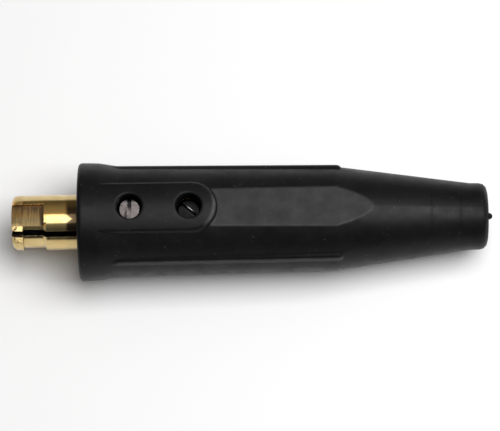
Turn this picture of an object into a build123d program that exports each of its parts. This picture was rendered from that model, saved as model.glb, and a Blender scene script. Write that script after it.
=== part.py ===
from build123d import *
from math import cos, radians, sin, sqrt, tan
import os

# A plug for welding cable: a rubber sleeve on a one-piece brass contact with a split cam pin,
# and two slotted set screws. +X runs from the pin to the cable, +Z is the side with the screws,
# and the origin is on the axis at the sleeve's front face. Sizes are in millimetres, angles in
# degrees. An angle round the axis is counted from +Z towards -Y.

# Brass contact
pin_radius = 9.0
pin_reach = 21.6
pin_lead_fall = 0.15
tip_edge_radius = 1.9
body_radius = 12.5
body_length = 47.0
body_chamfer = 0.8
socket_radius = 6.0
socket_depth = 36.0
socket_countersink = 0.8
drill_point_angle = 118.0

# Cut-outs in the pin
slit_width = 2.1
slit_depth = 25.0
slit_angle = 40.0
notch_width = 7.25
notch_length = 10.5
notch_floor = 6.8
notch_angle = -3.0
tip_ring_length = 3.7
groove_width = 6.6
groove_core_radius = 8.05
groove_core_offset = 0.55
groove_shallow_angle = 190.0
groove_middle_angle = 105.0
groove_to_shank = 0.3

# Set screws
screw_radius = 3.97
thread_clearance = 0.05
hole_clearance = 0.08
front_screw_x = 16.75
rear_screw_inset = 11.3
retaining_screw_length = 7.94
retaining_screw_recess = 4.13
retaining_slot_angle = 90.0
clamp_screw_length = 6.0
clamp_tip_gap = 0.25
clamp_slot_angle = -40.0
screw_chamfer = 0.75
screw_point_chamfer = 1.1
driver_slot_width = 1.3
driver_slot_depth = 1.7
cup_radius = 1.9
cup_depth = 0.7

# Sleeve, outside
sleeve_length = 132.1
collar_wall = 6.6
collar_length = 6.5
collar_fall = 0.12
collar_edge_radius = 1.2
neck_length = 7.0
neck_fall = 1.2
barrel_length = 69.5
barrel_fall = 0.98
tail_radius = 10.85
tail_tip_length = 5.6
tail_tip_fall = 0.05
tail_edge_radius = 2.6
edge_flats = 3

# Sleeve, ribs along the barrel
rib_angles = (62.5, 122.5, 237.5, 297.5)
rib_radius = 2.15
rib_front_height = 0.5
rib_rear_height = 0.85
rib_overrun = 2.4

# Sleeve, raised pad round the screw holes and the flat behind it
pad_half_width = 8.2
pad_overrun = 0.9
pad_draft = 12.0
pad_edge_radius = 1.1
hole_edge_chamfer = 0.35
label_wall = 3.77
label_flat_lead = 5.5
label_flat_tilt = 1.1

# Sleeve, inside
bore_clearance = 0.05
bore_chamfer = 0.5
seat_radius = 9.6
cable_bore_radius = 6.75
cable_taper_length = 12.0
cable_bore_length = 14.0
mouth_chamfer = 0.8

# Sleeve, small marks on the tail
cut_mark_offsets = (18.5, 9.1)
cut_mark_depth = 0.12
nub_radius = 1.5
nub_length = 1.1
nub_angle = 15.5

# Places worked out from the sizes above
groove_start = -pin_reach + tip_ring_length
groove_end = groove_start + groove_width
shank_start = groove_end + pin_radius - groove_core_radius + groove_to_shank
rear_screw_x = body_length - rear_screw_inset
clamp_screw_top = socket_radius + clamp_tip_gap + clamp_screw_length
bore_radius = body_radius + bore_clearance
screw_hole_radius = screw_radius + hole_clearance
tapped_hole_radius = screw_radius + thread_clearance
collar_radius = bore_radius + collar_wall
collar_rear_radius = collar_radius - collar_fall
retaining_screw_top = collar_rear_radius - retaining_screw_recess
barrel_front_radius = collar_rear_radius - neck_fall
barrel_rear_radius = barrel_front_radius - barrel_fall
label_flat_height = bore_radius + label_wall
barrel_start = collar_length + neck_length
barrel_end = barrel_start + barrel_length
tail_tip_start = sleeve_length - tail_tip_length
clear = 5.0


def turned(corners):
    """A solid of revolution round the plug's axis, from the (x, radius) corners of its section."""
    outline = Polyline(*[(x, 0.0, radius) for x, radius in corners], close=True)
    return revolve(make_face(outline), Axis.X)


def edge_corners(x, radius, size, side):
    """Section corners that round an end face's edge in short flats, from the outside to the face.

    side is -1 for a face that looks to the pin and 1 for a face that looks to the cable."""
    corners = []
    for step in range(edge_flats + 1):
        angle = radians(90 * step / edge_flats)
        corners.append((x - side * size * (1 - sin(angle)), radius - size * (1 - cos(angle))))
    return corners


def along_z(radius, low, high, x):
    """A round bar parallel to Z at the given x, from height low to height high."""
    bar = Cylinder(radius, high - low, align=(Align.CENTER, Align.CENTER, Align.MIN))
    return Pos(x, 0, low) * bar


def contact_blank():
    """The turned brass bar: pin, shoulder and body, with the drilled socket for the cable."""
    socket_floor = body_length - socket_depth
    drill_point = socket_radius / tan(radians(drill_point_angle / 2))
    return turned([
        (-pin_reach, 0.0),
        *reversed(edge_corners(-pin_reach, pin_radius - pin_lead_fall, tip_edge_radius, -1)),
        (shank_start, pin_radius),
        (0.0, pin_radius),
        (0.0, body_radius - body_chamfer),
        (body_chamfer, body_radius),
        (body_length - body_chamfer, body_radius),
        (body_length, body_radius - body_chamfer),
        (body_length, socket_radius + socket_countersink),
        (body_length - socket_countersink, socket_radius),
        (socket_floor, socket_radius),
        (socket_floor - drill_point, 0.0),
    ])


def saw_slit():
    """The saw cut that splits the pin, right across it and a little way into the body."""
    across = 2 * (body_radius + clear)
    blade = Box(slit_depth + clear, slit_width, across, align=(Align.MIN, Align.CENTER, Align.CENTER))
    return Rot(X=slit_angle) * Pos(-pin_reach - clear, 0, 0) * blade


def tip_notch():
    """The milled notch, open at the tip, that lets the socket's stud into the cam groove."""
    cutter = Box(notch_length + clear, notch_width, clear + pin_radius - notch_floor,
                 align=(Align.MIN, Align.CENTER, Align.MIN))
    return Rot(X=notch_angle) * Pos(-pin_reach - clear, 0, notch_floor) * cutter


def cam_groove():
    """The cam groove: half a turn round an offset core, so its depth falls away from the notch."""
    outside = pin_radius + clear
    ring = turned([(groove_start, 0.0), (groove_start, outside),
                   (groove_end + outside - groove_core_radius, outside),
                   (groove_end, groove_core_radius), (groove_end, 0.0)])
    core = Cylinder(groove_core_radius, groove_width, rotation=(0, 90, 0),
                    align=(Align.CENTER, Align.CENTER, Align.MIN))
    core = Rot(X=groove_shallow_angle) * Pos(groove_start, 0, groove_core_offset) * core
    half = Box(2 * pin_reach, 4 * outside, 2 * outside, align=(Align.CENTER, Align.CENTER, Align.MIN))
    return (ring - core) & (Rot(X=groove_middle_angle) * half)


def contact_body():
    """The brass contact with everything that is cut into it."""
    body = contact_blank() - saw_slit() - tip_notch() - cam_groove()
    for x in (front_screw_x, rear_screw_x):
        body -= along_z(tapped_hole_radius, 0, body_radius + clear, x)
    return body


def set_screw(x, top, length, slot_angle):
    """A slotted set screw with a cup point, its top face at the given distance from the axis."""
    blank = Cylinder(screw_radius, length, align=(Align.CENTER, Align.CENTER, Align.MAX))
    blank = chamfer(blank.edges().group_by(Axis.Z)[-1], screw_chamfer)
    blank = chamfer(blank.edges().group_by(Axis.Z)[0], screw_point_chamfer)
    slot = Box(2 * screw_radius + clear, driver_slot_width, 2 * driver_slot_depth)
    cup = Cone(cup_radius, 0, cup_depth, align=(Align.CENTER, Align.CENTER, Align.MIN))
    screw = blank - Rot(Z=slot_angle) * slot - Pos(0, 0, -length) * cup
    return Pos(x, 0, top) * screw


def taper_radius(x):
    """The tapered tail's radius at a place along it."""
    share = (x - barrel_end) / (tail_tip_start - barrel_end)
    return barrel_rear_radius + share * (tail_radius - barrel_rear_radius)


def sleeve_outside():
    """The moulding's round outside: collar, neck, barrel, taper and straight tail tip."""
    front_edge = edge_corners(0.0, collar_radius, collar_edge_radius, -1)
    rear_edge = edge_corners(sleeve_length, tail_radius - tail_tip_fall, tail_edge_radius, 1)
    return turned([
        (0.0, 0.0),
        *reversed(front_edge),
        (collar_length, collar_rear_radius),
        (barrel_start, barrel_front_radius),
        (barrel_end, barrel_rear_radius),
        (tail_tip_start, tail_radius),
        *rear_edge,
        (sleeve_length, 0.0),
    ])


def sleeve_inside():
    """Everything hollow in the sleeve: the contact's bore, the way for the cable and the mouth."""
    taper_end = sleeve_length - cable_bore_length
    return turned([
        (-clear, 0.0),
        (-clear, bore_radius + bore_chamfer + clear),
        (bore_chamfer, bore_radius),
        (body_length, bore_radius),
        (body_length, seat_radius),
        (taper_end - cable_taper_length, seat_radius),
        (taper_end, cable_bore_radius),
        (sleeve_length - mouth_chamfer, cable_bore_radius),
        (sleeve_length + clear, cable_bore_radius + mouth_chamfer + clear),
        (sleeve_length + clear, 0.0),
    ])


def rib():
    """One low rounded rib at the top of the barrel: a ball-ended bar, sunk in the wall to its crest."""
    front = Vector(barrel_start, 0, barrel_front_radius + rib_front_height - rib_radius)
    rear = Vector(barrel_end, 0, barrel_rear_radius + rib_rear_height - rib_radius)
    line = (rear - front).normalized()
    front -= line * neck_length
    rear += line * (rib_overrun - rib_radius)
    bar = extrude(Plane(front, z_dir=line) * Circle(rib_radius), (rear - front).length)
    return bar + Pos(rear) * Sphere(rib_radius)


def pad():
    """The raised pad round the two screw holes, crowned like the collar, with drafted sides."""
    start = collar_length / 2
    end = rear_screw_x + pad_overrun
    height = collar_radius
    foot = label_flat_height - pad_half_width
    foot_half_width = pad_half_width * (1 + tan(radians(pad_draft)))
    top_half_width = foot_half_width - height * tan(radians(pad_draft))
    section = Polygon((-foot_half_width, 0), (foot_half_width, 0), (top_half_width, height),
                      (-top_half_width, height), align=None)
    island = Pos(start, 0, foot) * extrude(Plane.YZ * section, end - start)
    round_end = Cone(foot_half_width, top_half_width, height, align=(Align.CENTER, Align.CENTER, Align.MIN))
    island += Pos(end, 0, foot) * round_end
    crown = Cylinder(collar_rear_radius, 4 * end, rotation=(0, 90, 0))
    island = island & crown
    rim_edges = island.faces().sort_by(Axis.Z)[-1].edges().sort_by(Axis.X)
    return fillet(rim_edges[1:], pad_edge_radius)


def label_flat():
    """What is cut away over the label flat, which starts under the pad and falls along the barrel."""
    cutter = Box(sleeve_length, 4 * collar_radius, collar_radius, align=(Align.MIN, Align.CENTER, Align.MIN))
    return Pos(rear_screw_x + label_flat_lead, 0, label_flat_height) * Rot(Y=label_flat_tilt) * cutter


def cut_mark(offset_from_end):
    """One fine ring groove round the tail, a guide for cutting it back to the cable's size."""
    x = sleeve_length - offset_from_end
    floor = taper_radius(x) - cut_mark_depth
    outside = floor + clear
    return turned([(x, floor), (x + clear, outside), (x - clear, outside)])


def moulding_nub():
    """The small torn stub on the tail's end face where the rubber was let into the mould."""
    middle = (cable_bore_radius + mouth_chamfer + tail_radius - tail_edge_radius) / 2
    stub = Cone(nub_radius, nub_radius / 2, 2 * nub_length, rotation=(0, 90, 0))
    return Rot(X=nub_angle) * Pos(sleeve_length, 0, middle) * stub


def rim(sleeve, x):
    """The edge of a screw hole at the pad's crown."""
    height = sqrt(collar_rear_radius ** 2 - screw_hole_radius ** 2)
    return sleeve.edges().sort_by_distance((x, screw_hole_radius, height))[0]


def insulator_sleeve():
    """The whole rubber sleeve."""
    sleeve = sleeve_outside()
    for angle in rib_angles:
        sleeve += Rot(X=angle) * rib()
    sleeve = sleeve - label_flat() + pad()
    for offset_from_end in cut_mark_offsets:
        sleeve -= cut_mark(offset_from_end)
    sleeve += moulding_nub()
    sleeve -= sleeve_inside()
    for x in (front_screw_x, rear_screw_x):
        sleeve -= along_z(screw_hole_radius, 0, collar_radius + clear, x)
        sleeve = chamfer(rim(sleeve, x), hole_edge_chamfer)
    return sleeve


parts = {
    "insulator_sleeve": insulator_sleeve(),
    "contact_body": contact_body(),
    "retaining_screw": set_screw(front_screw_x, retaining_screw_top, retaining_screw_length,
                                 retaining_slot_angle),
    "cable_clamp_screw": set_screw(rear_screw_x, clamp_screw_top, clamp_screw_length,
                                   clamp_slot_angle),
}

os.makedirs("parts", exist_ok=True)
for name, shape in parts.items():
    export_step(shape, f"parts/{name}.step")
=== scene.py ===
from math import atan2, cos, pi, radians, sin

import bmesh
import bpy
from mathutils import Matrix, Vector


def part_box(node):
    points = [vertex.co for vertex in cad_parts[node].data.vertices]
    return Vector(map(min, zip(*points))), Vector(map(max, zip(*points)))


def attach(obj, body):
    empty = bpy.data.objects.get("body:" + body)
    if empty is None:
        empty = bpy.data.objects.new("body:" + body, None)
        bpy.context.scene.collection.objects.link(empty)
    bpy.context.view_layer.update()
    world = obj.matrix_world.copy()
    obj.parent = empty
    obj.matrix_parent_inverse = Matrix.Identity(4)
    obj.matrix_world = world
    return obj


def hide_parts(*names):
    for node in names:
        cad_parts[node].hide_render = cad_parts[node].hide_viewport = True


# Looks of the welding cable plug: black moulded rubber, turned brass and two steel set screws, lying
# on a white table under one soft overhead lamp. Lengths are in metres, angles in degrees.
# +X runs from the pin to the cable, +Y is the side away from the camera and +Z the side with the screws.
# A pair of lengths is where a finish starts to change and where it has changed. Cells are a pattern's
# cells to the metre, levels are the two values of a noise pattern between which a finish changes, and
# shares run from 0 to 1.

MM = 0.001
most_noise_levels = (0.3, 0.7)

# Camera, as in the photograph
camera_elevation = 74.5
camera_roll = 0.85
camera_distance = 0.973
camera_lens = 216.0
camera_sensor = 36.0
camera_aim = (55.3 * MM, 0.0, 0.0)
camera_aim_rise = 1.375 * MM

# Places on the sleeve that its finish follows
pad_end = 36.6 * MM
pad_rim_radius = 7.4 * MM
pad_rim_reach = (3.5 * MM, 6.0 * MM)
pad_rim_height = (17.2 * MM, 17.5 * MM)
pad_rim_near_side = (3.5 * MM, 0.5 * MM)
flat_height = 16.41 * MM
flat_fall = 0.0192
flat_half_depth = 0.10 * MM
flat_soft = 0.05 * MM
rib_angles = (62.5, 122.5, 237.5, 297.5)
rib_start = (12.0 * MM, 13.0 * MM)
rib_end = (85.0 * MM, 84.0 * MM)
rib_outer_side = (0.0, 1.0 * MM)
rib_foot = 1.25 * MM
rib_foot_half_width = 0.25 * MM
rib_foot_soft = 0.15 * MM
# Band of the pale rub marks on the pad's rear rim and the rib crests: partly wear, partly a painted
# highlight
rub_highlight_half_width = 0.45 * MM
rub_highlight_soft = 0.3 * MM
collar_dulling = (12.0 * MM, 5.0 * MM)
tail_dulling = (95.0 * MM, 128.0 * MM)

# Rubber: the shine is the specular level where the rubber is smoothest and where it is dullest
rubber_dark = (0.0045, 0.0045, 0.0050, 1.0)
rubber_light = (0.0075, 0.0075, 0.0082, 1.0)
# Paler tone of dust, scuffs and the rub marks; on the pad's rear rim and the rib crests it is partly a
# painted highlight
rubber_marks_and_highlight = (0.10, 0.10, 0.098, 1.0)
rubber_roughness = (0.35, 0.50)
rubber_shine = (0.25, 0.05)
rubber_edge = 1.2 * MM
rubber_wave_height = 0.10 * MM
rubber_wave_strength = 0.3
rubber_grain_height = 0.015 * MM
rubber_grain_strength = 0.4
cloud_cells = 60.0
mottling_cells = 210.0
grain_cells = 2600.0
dust_cells = 1100.0
dust_levels = (0.68, 0.76)
dust_share = 0.28
scuff_cells = 520.0
scuff_levels = (0.65, 0.72)
scuff_share = 0.30
# Mottling and strength of the rub marks, stronger on the near side: partly wear, partly a painted highlight
rub_highlight_levels = (0.35, 0.65)
rub_highlight_share = (0.30, 0.62)
near_rub_highlight_factor = (0.3, 1.7)
dull_share = 0.45
dull_collar_share = 0.52
dull_tail_share = 0.58

# Places on the brass that its finish follows
slit_angle = 40.0
slit_half_width = 1.08 * MM
slit_soft = 0.02 * MM
notch_turn = 3.0
notch_floor = 6.8 * MM
notch_floor_half_depth = 0.05 * MM
notch_floor_soft = 0.01 * MM
notch_half_width = 4.0 * MM
notch_side_soft = 0.05 * MM
notch_near_to_far = (-2.6 * MM, 3.4 * MM)
notch_corner = (-12.7 * MM, -11.5 * MM)
ring_edge = (-18.0 * MM, -17.8 * MM)
shine_angle = 8.0
neck_edge = (-1.9 * MM, -0.9 * MM)
neck_wander = 1.2 * MM
neck_point_half_width = 1.4 * MM
neck_point_slope = 1.3
neck_fade = (3.5 * MM, 7.0 * MM)
warm_middle = 2.6 * MM
warm_half_width = 2.6 * MM
warm_soft = 0.6 * MM
battered_angle = 42.0
battered_half_width = 3.0 * MM
battered_soft = 0.15 * MM
inside_start = (4.0 * MM, 5.0 * MM)

# Brass
brass_pale = (0.70, 0.535, 0.250, 1.0)
brass_deep = (0.60, 0.435, 0.185, 1.0)
brass_warm = (0.93, 0.56, 0.165, 1.0)
# Brown of the notch floor's darkening: painted shade towards the far side, and a painted shadow in the
# corner
notch_brown = (0.070, 0.044, 0.028, 1.0)
# Brown of the painted shade beside the sleeve
neck_brown = (0.055, 0.036, 0.022, 1.0)
inside_brown = (0.045, 0.032, 0.022, 1.0)
# Brown of the painted shade in the saw cut
slit_brown = (0.035, 0.023, 0.016, 1.0)
brass_roughness = (0.18, 0.24)
milled_roughness = 0.2
worn_roughness = 0.2
brass_anisotropy = 0.85
brass_quarter_turn = 0.25
brass_edge = 0.25 * MM
tool_line_height = 0.01 * MM
tool_line_strength = 0.5
dent_height = 0.10 * MM
dent_strength = 0.5
tarnish_cells = 260.0
tarnish_levels = (0.35, 0.7)
warm_levels = (0.25, 0.6)
warm_share = (0.6, 1.0)
wear_cells = 900.0
wear_levels = (0.30, 0.45)
dent_cells = 1400.0
tool_line_cells = (5200.0, 60.0, 60.0)
cutter_mark_cells = (2200.0, 150.0, 150.0)
cutter_mark_levels = (0.40, 0.66)
# Darkening of the notch floor from the near to the far side as painted shade, and the painted shadow in its
# corner
notch_shade_share = (0.45, 0.92)
notch_mark_share = 0.22
notch_corner_shadow_share = 0.6
notch_most_darkening = 0.96
# Share of the painted shade beside the sleeve, strongest along the shining line
neck_share = (0.95, 0.15)
inside_share = 0.85
battered_share = 0.8

# Set screws: a 5/16 in coarse thread, whose crest and flanks are shares of its pitch, and the cuts that
# the plain solids have too
thread_pitch = 1.411 * MM
thread_depth = 0.865 * MM
thread_half_crest = 1 / 16
thread_flank = 5 / 16
thread_columns = 72
thread_rows_per_turn = 16
screw_chamfer = 0.75 * MM
screw_point_chamfer = 1.1 * MM
cup_radius = 1.9 * MM
cup_depth = 0.7 * MM
driver_slot_width = 1.3 * MM
driver_slot_depth = 1.7 * MM
retaining_slot_angle = 90.0
clamp_slot_angle = -40.0
sharp_angle = 32.0

# Steel of the screws: a screw's greasiness, times its gain, is how far its greasy patches spread; the same
# number sets how much of the near side the painted shade below the top face covers, and how strong the
# painted glint along the slot is
steel_light = (0.118, 0.105, 0.101, 1.0)
steel_dark = (0.092, 0.080, 0.077, 1.0)
# Pale steel of the worn slot edge, partly a painted glint
steel_worn_glint = (0.55, 0.54, 0.53, 1.0)
# Black of the greasy patches, and of the painted shade below the top face and on the far side, which is
# partly dirt
grease_and_shade_black = (0.006, 0.006, 0.006, 1.0)
steel_roughness = (0.24, 0.32)
steel_mark_height = 0.01 * MM
steel_mark_strength = 0.4
steel_mark_cells = (900.0, 900.0, 6000.0)
grease_cells = 700.0
grease_levels = (0.78, 0.88)
grease_gain = 1.4
retaining_soil_and_shade = 0.1
clamp_soil_and_shade = 0.45
# Painted shade, partly dirt, below the top face and reaching more of the far side, then painted shade on the
# far side of the top face
recess_dirt_shade_share = 0.95
recess_depth = (0.5 * MM, 0.2 * MM)
recess_near_to_far = (-0.6 * MM, 1.2 * MM)
far_side = (2.0 * MM, 2.9 * MM)
far_side_shade_share = 0.9
# The worn edge along one side of the slot, partly a painted glint
slot_wear_glint_half_width = 0.1 * MM
slot_wear_glint_soft = 0.04 * MM
slot_wear_glint_half_length = 1.1 * MM
slot_wear_glint_fade = 0.6 * MM

# Table: the two rims of the sleeve that it touches, as places along the plug and radii
collar_rim = (6.5 * MM, 19.03 * MM)
barrel_rim = (83.0 * MM, 16.85 * MM)
table_size = 4.0
table_cells = 6.0
table_grey = (0.88, 0.88, 0.88, 1.0)
table_pale = (0.90, 0.90, 0.895, 1.0)
table_seen = (1.0, 1.0, 1.0, 1.0)
table_roughness = 0.6
table_shine = 0.2

# Lamp
key_height = 1.0
key_x = 0.45
key_y = 0.01
key_length = 0.95
key_width = 0.65
key_power = 12.1

# The room's brightness by angle from straight up, in degrees towards -Y, how far the angles reach, and
# how dim it is in front of the pin, by the direction's share of +X
room_tones = ((-75.0, 0.14), (-45.0, 0.34), (-20.0, 0.42), (0.0, 0.38), (22.0, 0.35), (40.0, 0.15),
              (55.0, 0.06), (80.0, 0.03))
room_reach = 100.0
room_dim = 0.25
room_dim_side = (-0.6, 0.4)


class Nodes:
    """A node tree, with a short call for each thing it needs."""

    def __init__(self, tree):
        self.tree = tree

    def node(self, kind, inputs=None, **settings):
        """Adds a node. Inputs are numbers, colours or sockets, by socket name or number."""
        node = self.tree.nodes.new("ShaderNode" + kind)
        for name, value in settings.items():
            setattr(node, name, value)
        for name, value in (inputs or {}).items():
            self.put(node.inputs[name], value)
        return node

    def put(self, socket, value):
        """Sets a socket to a value, or links another socket to it."""
        if isinstance(value, bpy.types.NodeSocket):
            self.tree.links.new(value, socket)
        else:
            socket.default_value = value

    def ramp(self, value, low, high, start=0.0, end=1.0):
        """Brings a value from the range low to high into start to end."""
        inputs = {"Value": value, "From Min": low, "From Max": high, "To Min": start, "To Max": end}
        return self.node("MapRange", inputs).outputs["Result"]

    def math(self, operation, first, second=0.0):
        """The result of one sum."""
        return self.node("Math", {0: first, 1: second}, operation=operation).outputs[0]

    def product(self, *values):
        """All the values multiplied."""
        result = values[0]
        for value in values[1:]:
            result = self.math("MULTIPLY", result, value)
        return result

    def largest(self, *values):
        """The largest of the values."""
        result = values[0]
        for value in values[1:]:
            result = self.math("MAXIMUM", result, value)
        return result


class Shader(Nodes):
    """The nodes of one material."""

    def __init__(self, name):
        self.material = bpy.data.materials.new(name)
        self.material.use_nodes = True
        super().__init__(self.material.node_tree)
        self.surface = self.tree.nodes["Principled BSDF"]
        self.place = self.node("TexCoord").outputs["Object"]

    def set(self, **values):
        """Sets the surface's own sockets, with _ for a space in their names."""
        for name, value in values.items():
            self.put(self.surface.inputs[name.replace("_", " ")], value)

    def stretched(self, scale):
        """The object's coordinates, scaled by three numbers."""
        return self.node("Mapping", {"Vector": self.place, "Scale": scale}).outputs["Vector"]

    def noise(self, scale, detail=3.0, vector=None, roughness=0.5):
        """A noise pattern's value, with scale in cells to the metre."""
        inputs = {"Vector": vector or self.place, "Scale": scale, "Detail": detail, "Roughness": roughness}
        return self.node("TexNoise", inputs).outputs["Fac"]

    def band(self, value, middle, half_width, soft):
        """1 where a value is near the middle, falling to 0 round half a width away, over a soft edge."""
        away = self.math("ABSOLUTE", self.math("SUBTRACT", value, middle))
        return self.ramp(away, half_width - soft, half_width + soft, 1.0, 0.0)

    def along(self, axis, turn=0.0):
        """The distance along axis 0, 1 or 2, after a turn round the plug's axis in degrees."""
        turned = self.node("Mapping", {"Vector": self.place, "Rotation": (radians(turn), 0.0, 0.0)})
        return self.node("SeparateXYZ", {0: turned.outputs["Vector"]}).outputs[axis]

    def mix(self, share, first, second):
        """One colour turning into another."""
        node = self.node("Mix", data_type="RGBA")
        for socket, value in zip((node.inputs[0], node.inputs[6], node.inputs[7]), (share, first, second)):
            self.put(socket, value)
        return node.outputs[2]

    def bump(self, height, distance, strength=1.0, normal=None):
        """A surface normal pushed about by a height pattern, with the distance in metres."""
        inputs = {"Height": height, "Distance": distance, "Strength": strength}
        if normal is not None:
            inputs["Normal"] = normal
        return self.node("Bump", inputs).outputs["Normal"]


def pad_rim(look, place):
    """A mask of a painted highlight on the pad's rounded rim at its rear end, partly rub wear, strongest on
    the near side.
    """
    from_pad_end = look.math("SUBTRACT", place, pad_end)
    off_axis = look.along(1)
    squares = look.math("ADD", look.product(from_pad_end, from_pad_end), look.product(off_axis, off_axis))
    rim = look.band(look.math("SQRT", squares), pad_rim_radius, rub_highlight_half_width, rub_highlight_soft)
    return look.product(rim, look.ramp(from_pad_end, *pad_rim_reach),
                        look.ramp(look.along(2), *pad_rim_height),
                        look.ramp(off_axis, *pad_rim_near_side, *near_rub_highlight_factor))


def ribs(look, place):
    """Masks of a painted highlight along each rib's crest, partly rub wear, and of the foot below each rib.
    """
    in_length = look.product(look.ramp(place, *rib_start), look.ramp(place, *rib_end))
    crest_highlights = []
    feet = []
    for angle in rib_angles:
        sideways = look.along(1, -angle)
        on_rib = look.product(look.ramp(look.along(2, -angle), *rib_outer_side), in_length)
        lower_foot = -rib_foot if angle < 180 else rib_foot
        foot = look.band(sideways, lower_foot, rib_foot_half_width, rib_foot_soft)
        crest_highlights.append(look.product(look.band(sideways, 0.0, rub_highlight_half_width, rub_highlight_soft), on_rib))
        feet.append(look.product(foot, on_rib))
    return look.largest(*crest_highlights), look.largest(*feet)


def label_flat(look, place):
    """A mask of the label flat, which falls a little towards the tail."""
    fall = look.product(look.math("SUBTRACT", place, pad_end), flat_fall)
    return look.band(look.math("ADD", look.along(2), fall), flat_height, flat_half_depth, flat_soft)


def rubber():
    """Black moulded rubber: satin, mottled and finely grained, with dust, scuffs, and pale rub marks that
    are partly a painted highlight.

    It is smoothest on the label flat and dullest at both ends and beneath the ribs.
    """
    look = Shader("sleeve_rubber")
    place = look.along(0)
    clouds = look.noise(cloud_cells, 4.0)
    mottling = look.noise(mottling_cells, 5.0, roughness=0.6)
    grain = look.noise(grain_cells, 3.0)
    dust = look.ramp(look.noise(dust_cells, 2.0), *dust_levels, 0.0, dust_share)
    scuffs = look.ramp(look.noise(scuff_cells, 6.0, roughness=0.75), *scuff_levels, 0.0, scuff_share)

    crest_highlights, feet = ribs(look, place)
    # Painted highlight on the pad's rear rim and the rib crests, partly rub wear
    rub_highlight = look.product(look.largest(pad_rim(look, place), crest_highlights),
                          look.ramp(mottling, *rub_highlight_levels, *rub_highlight_share))
    dull = look.largest(look.ramp(label_flat(look, place), 0.0, 1.0, dull_share, 0.0),
                        look.ramp(place, *collar_dulling, 0.0, dull_collar_share),
                        look.ramp(place, *tail_dulling, 0.0, dull_tail_share), feet)

    colour = look.mix(look.ramp(clouds, *most_noise_levels), rubber_dark, rubber_light)
    colour = look.mix(look.largest(dust, scuffs, rub_highlight), colour, rubber_marks_and_highlight)
    rounded = look.node("Bevel", {"Radius": rubber_edge}, samples=8).outputs["Normal"]
    waves = look.bump(clouds, rubber_wave_height, rubber_wave_strength, rounded)
    look.set(Base_Color=colour, Roughness=look.ramp(mottling, *most_noise_levels, *rubber_roughness),
             Specular_IOR_Level=look.ramp(dull, 0.0, 1.0, *rubber_shine),
             Normal=look.bump(grain, rubber_grain_height, rubber_grain_strength, waves))
    return look.material


def notch(look, place):
    """Masks of the notch's milled floor and of its darkening: dark all over with cutter marks, with painted
    shade growing towards the far side and a painted shadow in the corner by the end wall.
    """
    across = look.along(1, notch_turn)
    level = look.band(look.along(2, notch_turn), notch_floor, notch_floor_half_depth, notch_floor_soft)
    milled = look.product(level, look.band(across, 0.0, notch_half_width, notch_side_soft))
    cutter_marks = look.noise(1.0, 3.0, look.stretched(cutter_mark_cells))
    # Darker towards the far side as painted shade, and in the corner by the end wall as a painted shadow;
    # the cutter marks are real
    notch_marks_and_shade = look.math("ADD", look.ramp(across, *notch_near_to_far, *notch_shade_share),
                      look.ramp(cutter_marks, *cutter_mark_levels, 0.0, notch_mark_share))
    notch_marks_and_shade = look.math("ADD", notch_marks_and_shade, look.ramp(place, *notch_corner, 0.0, notch_corner_shadow_share))
    return milled, look.product(milled, look.math("MINIMUM", notch_marks_and_shade, notch_most_darkening))


def neck(look, place, tarnish):
    """A mask of painted shade beside the sleeve, for the collar's shadow and dark reflection on the shank;
    its edge gives the shank's shining line a point.
    """
    beside_shine = look.math("ABSOLUTE", look.along(1, -shine_angle))
    point = look.product(look.math("MINIMUM", beside_shine, neck_point_half_width), neck_point_slope)
    edge = look.math("ADD", look.math("ADD", place, point), look.product(tarnish, neck_wander))
    return look.product(look.ramp(edge, *neck_edge), look.ramp(beside_shine, *neck_fade, *neck_share))


def battered(look, normal, worn):
    """The normal, beaten flat where the worn tip faces the lamp beside the saw cut."""
    beside_cut = look.band(look.along(1, -battered_angle), 0.0, battered_half_width, battered_soft)
    flat = (0.0, -sin(radians(shine_angle)), cos(radians(shine_angle)))
    flat = look.node("VectorTransform", {"Vector": flat}, vector_type="NORMAL", convert_from="OBJECT",
                     convert_to="WORLD").outputs["Vector"]
    share = look.product(worn, beside_cut, battered_share)
    return look.node("Mix", {0: share, 4: normal, 5: flat}, data_type="VECTOR").outputs[1]


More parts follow.
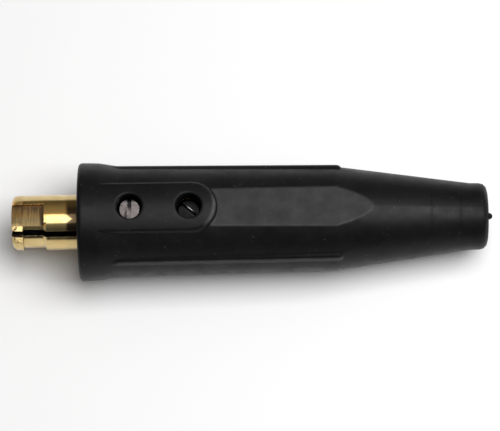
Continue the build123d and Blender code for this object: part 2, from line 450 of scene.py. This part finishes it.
def brass():
    """Turned brass with fine tool lines round the axis and a worn tip; painted shade darkens the milled
    notch, the saw cut and the shank beside the sleeve.
    """
    look = Shader("contact_brass")
    place = look.along(0)
    tarnish = look.noise(tarnish_cells, 4.0)
    tool_lines = look.noise(1.0, 2.0, look.stretched(tool_line_cells))
    milled, notch_marks_and_shade = notch(look, place)
    worn = look.product(look.ramp(place, *ring_edge, 1.0, 0.0),
                        look.ramp(look.noise(wear_cells, 3.0), *wear_levels))
    warm = look.product(look.band(look.along(1), warm_middle, warm_half_width, warm_soft),
                        look.ramp(tarnish, *warm_levels, *warm_share))
    inside = look.ramp(place, *inside_start, 0.0, inside_share)
    # Painted shade in the saw cut
    slit_shade = look.band(look.along(1, -slit_angle), 0.0, slit_half_width, slit_soft)

    colour = look.mix(look.ramp(tarnish, *tarnish_levels), brass_pale, brass_deep)
    # Painted shade darkens the notch, the shank beside the sleeve and the saw cut
    for share, tone in ((warm, brass_warm), (notch_marks_and_shade, notch_brown), (neck(look, place, tarnish), neck_brown),
                        (inside, inside_brown), (slit_shade, slit_brown)):
        colour = look.mix(share, colour, tone)
    roughness = look.ramp(tarnish, *most_noise_levels, *brass_roughness)
    roughness = look.math("ADD", roughness, look.product(milled, milled_roughness))
    roughness = look.math("ADD", roughness, look.product(worn, worn_roughness))
    rounded = look.node("Bevel", {"Radius": brass_edge}, samples=4).outputs["Normal"]
    normal = look.bump(tool_lines, tool_line_height, tool_line_strength, battered(look, rounded, worn))
    normal = look.bump(look.noise(dent_cells, 2.0), dent_height, look.product(worn, dent_strength), normal)
    tangent = look.node("Tangent", direction_type="RADIAL", axis="X").outputs["Tangent"]
    look.set(Base_Color=colour, Metallic=1.0, Roughness=roughness, Normal=normal, Tangent=tangent,
             Anisotropic=brass_anisotropy, Anisotropic_Rotation=brass_quarter_turn)
    return look.material


def steel(name, node, slot_angle, soil_and_shade):
    """Plain machined steel with the marks of its tool, partly greasy, darker below its top face and on its
    far side as painted shade, partly dirt, with a worn edge along its slot that is partly a painted glint.
    """
    low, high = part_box(node)
    middle = (low + high) / 2
    look = Shader(name)
    marks = look.noise(1.0, 3.0, look.stretched(steel_mark_cells))
    turned = look.node("VectorRotate", {"Vector": look.place, "Center": middle,
                                        "Angle": -radians(slot_angle)}, rotation_type="Z_AXIS")
    slot = look.node("SeparateXYZ", {0: turned.outputs["Vector"]}).outputs
    # One edge of the slot paler, partly wear and partly a painted glint
    wear_glint_middle = driver_slot_width / 2 + slot_wear_glint_half_width
    worn = look.product(look.band(slot["Y"], wear_glint_middle, slot_wear_glint_half_width, slot_wear_glint_soft),
                        look.band(slot["X"], middle[0], slot_wear_glint_half_length, slot_wear_glint_fade))

    patch_levels = [level - grease_gain * soil_and_shade for level in grease_levels]
    patches = look.ramp(look.noise(grease_cells, 3.0), *patch_levels)
    recess_start, recess_end = (high.z - depth for depth in recess_depth)
    # Darker below the top face, more on the far side: dirt and painted shade
    recess_dirt_and_shade = look.product(look.ramp(look.along(2), recess_start, recess_end, recess_dirt_shade_share, 0.0),
                          look.ramp(look.along(1), *recess_near_to_far, soil_and_shade, 1.0))
    # Painted shade on the far side of the top face
    far = look.ramp(look.along(1), *far_side, 0.0, far_side_shade_share)
    grease_and_shade = look.product(look.largest(patches, recess_dirt_and_shade, far), look.math("SUBTRACT", 1.0, worn))

    colour = look.mix(look.ramp(marks, *most_noise_levels), steel_light, steel_dark)
    colour = look.mix(look.product(worn, soil_and_shade), colour, steel_worn_glint)
    colour = look.mix(grease_and_shade, colour, grease_and_shade_black)
    look.set(Base_Color=colour, Metallic=1.0,
             Roughness=look.ramp(marks, *most_noise_levels, *steel_roughness),
             Normal=look.bump(marks, steel_mark_height, steel_mark_strength))
    return look.material


def table_white():
    """The table's white top. The camera, metal and glass see it whiter than it lights the plug."""
    look = Shader("table_white")
    ray = look.node("LightPath").outputs
    seen = look.largest(ray["Is Camera Ray"], ray["Is Glossy Ray"], ray["Is Transmission Ray"])
    colour = look.mix(look.noise(table_cells, 2.0), table_grey, table_pale)
    look.set(Base_Color=look.mix(seen, colour, table_seen), Roughness=table_roughness,
             Specular_IOR_Level=table_shine)
    return look.material


def thread_radius(height, turn, radius):
    """The radius of a right-hand thread at a height, in metres, and a turn, from 0 to 1."""
    from_crest = abs((height / thread_pitch - turn) % 1.0 - 0.5)
    return radius - thread_depth * min(max((from_crest - thread_half_crest) / thread_flank, 0.0), 1.0)


def threaded_bar(middle, low, high, radius):
    """A chamfered, threaded bar with a cup point, as a closed mesh. Its axis is parallel to Z."""
    mesh = bmesh.new()

    def add_point(reach, turn, height):
        return mesh.verts.new((middle + reach * cos(2 * pi * turn), reach * sin(2 * pi * turn), height))

    turns = [column / thread_columns for column in range(thread_columns)]
    rows = round((high - low) / thread_pitch * thread_rows_per_turn)
    rings = []
    for row in range(rows + 1):
        height = low + (high - low) * row / rows
        limit = min(radius - screw_chamfer + high - height, radius - screw_point_chamfer + height - low)
        rings.append([add_point(min(thread_radius(height, turn, radius), limit), turn, height)
                      for turn in turns])
    cup = [add_point(cup_radius, turn, low) for turn in turns]
    rings.insert(0, cup)
    cup_floor = mesh.verts.new((middle, 0.0, low + cup_depth))
    for column in range(thread_columns):
        after = (column + 1) % thread_columns
        mesh.faces.new((cup_floor, cup[after], cup[column]))
        for lower, upper in zip(rings, rings[1:]):
            mesh.faces.new((lower[column], lower[after], upper[after], upper[column]))
    mesh.faces.new(rings[-1])
    return mesh


def mesh_object(name, mesh):
    """A new object in the scene from a bmesh, which is used up."""
    data = bpy.data.meshes.new(name)
    mesh.to_mesh(data)
    mesh.free()
    made = bpy.data.objects.new(name, data)
    bpy.context.scene.collection.objects.link(made)
    return made


def make_screw(name, node, body, slot_angle, finish):
    """A threaded, slotted set screw in the place of its plain solid."""
    low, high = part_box(node)
    middle = (low[0] + high[0]) / 2
    radius = (high[0] - low[0]) / 2
    screw = mesh_object(name, threaded_bar(middle, low[2], high[2], radius))

    blade = bmesh.new()
    size = Matrix.Diagonal((4 * radius, driver_slot_width, 2 * driver_slot_depth, 1.0))
    place = Matrix.Translation((middle, 0.0, high[2])) @ Matrix.Rotation(radians(slot_angle), 4, "Z")
    bmesh.ops.create_cube(blade, size=1.0, matrix=place @ size)
    cutter = mesh_object("cutter", blade)
    cut = screw.modifiers.new("slot", "BOOLEAN")
    cut.operation = "DIFFERENCE"
    cut.solver = "EXACT"
    cut.object = cutter
    bpy.context.view_layer.update()
    evaluated = screw.evaluated_get(bpy.context.evaluated_depsgraph_get())
    slotted = bpy.data.meshes.new_from_object(evaluated)
    screw.modifiers.clear()
    screw.data = slotted
    bpy.data.objects.remove(cutter)

    slotted.shade_smooth()
    slotted.set_sharp_from_angle(angle=radians(sharp_angle))
    slotted.materials.clear()
    slotted.materials.append(finish)
    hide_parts(node)
    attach(screw, body)


def make_table():
    """A broad white table top, tilted as the plug's two touching rims need."""
    half = table_size / 2
    corners = [(-half, -half, 0.0), (half, -half, 0.0), (half, half, 0.0), (-half, half, 0.0)]
    mesh = bpy.data.meshes.new("table")
    mesh.from_pydata(corners, [], [(0, 1, 2, 3)])
    mesh.materials.append(table_white())
    table = bpy.data.objects.new("table", mesh)
    tilt = atan2(collar_rim[1] - barrel_rim[1], barrel_rim[0] - collar_rim[0])
    place = Matrix.Translation((collar_rim[0], 0.0, -collar_rim[1]))
    table.matrix_world = place @ Matrix.Rotation(-tilt, 4, "Y")
    bpy.context.scene.collection.objects.link(table)


def make_camera():
    """The camera at the photograph's place, rolled so that the plug's tail rises to the right."""
    elevation = radians(camera_elevation)
    roll = radians(camera_roll)
    back = Vector((0.0, -cos(elevation), sin(elevation)))
    level_right = Vector((1.0, 0.0, 0.0))
    level_up = Vector((0.0, sin(elevation), cos(elevation)))
    right = level_right * cos(roll) - level_up * sin(roll)
    up = level_right * sin(roll) + level_up * cos(roll)
    aim = Vector(camera_aim) + level_up * camera_aim_rise
    data = bpy.data.cameras.new("camera")
    data.lens = camera_lens
    data.sensor_width = camera_sensor
    camera = bpy.data.objects.new("camera", data)
    turn = Matrix((right, up, back)).transposed().to_4x4()
    camera.matrix_world = Matrix.Translation(aim + back * camera_distance) @ turn
    bpy.context.scene.collection.objects.link(camera)
    bpy.context.scene.camera = camera


def make_lamp():
    """One soft rectangular lamp overhead."""
    data = bpy.data.lights.new("key", "AREA")
    data.shape = "RECTANGLE"
    data.size = key_length
    data.size_y = key_width
    data.energy = key_power
    key = bpy.data.objects.new("key", data)
    key.location = (key_x, key_y, key_height)
    bpy.context.scene.collection.objects.link(key)


def make_room():
    """A dim room round the lamp, darkest low down on the -Y side and in front of the pin."""
    world = bpy.data.worlds.new("room")
    world.use_nodes = True
    room = Nodes(world.node_tree)
    direction = room.node("SeparateXYZ", {0: room.node("TexCoord").outputs["Generated"]})
    side = room.math("MULTIPLY", direction.outputs["Y"], -1.0)
    angle = room.math("ARCTAN2", side, direction.outputs["Z"])
    reach = radians(room_reach)
    tones = room.node("ValToRGB", {"Fac": room.ramp(angle, -reach, reach)})
    stops = tones.color_ramp.elements
    for step, (place, tone) in enumerate(room_tones):
        stop = stops[step] if step < len(stops) else stops.new(1.0)
        stop.position = (place + room_reach) / (2 * room_reach)
        stop.color = (tone, tone, tone, 1.0)
    background = room.tree.nodes["Background"]
    room.put(background.inputs["Color"], tones.outputs["Color"])
    room.put(background.inputs["Strength"], room.ramp(direction.outputs["X"], *room_dim_side, room_dim, 1.0))
    bpy.context.scene.world = world


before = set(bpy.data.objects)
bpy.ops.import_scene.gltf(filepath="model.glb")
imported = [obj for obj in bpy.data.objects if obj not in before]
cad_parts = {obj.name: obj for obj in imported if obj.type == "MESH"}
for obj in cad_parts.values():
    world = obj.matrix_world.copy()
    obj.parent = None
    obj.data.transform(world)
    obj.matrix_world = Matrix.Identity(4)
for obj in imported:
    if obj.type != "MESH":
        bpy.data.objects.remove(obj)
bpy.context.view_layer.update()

for name, finish in (("insulator_sleeve", rubber()), ("contact_body", brass())):
    for material_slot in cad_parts[name].material_slots:
        material_slot.material = finish
make_screw("threaded_retaining_screw", "retaining_screw", "front_screw", retaining_slot_angle,
           steel("screw_steel", "retaining_screw", retaining_slot_angle, retaining_soil_and_shade))
# The clamp screw's steel is greasier and darker with painted shade
make_screw("threaded_clamp_screw", "cable_clamp_screw", "rear_screw", clamp_slot_angle,
           steel("screw_steel_greasy_shaded", "cable_clamp_screw", clamp_slot_angle, clamp_soil_and_shade))

make_table()
make_camera()
make_lamp()
make_room()
bpy.context.scene.view_settings.view_transform = "Standard"
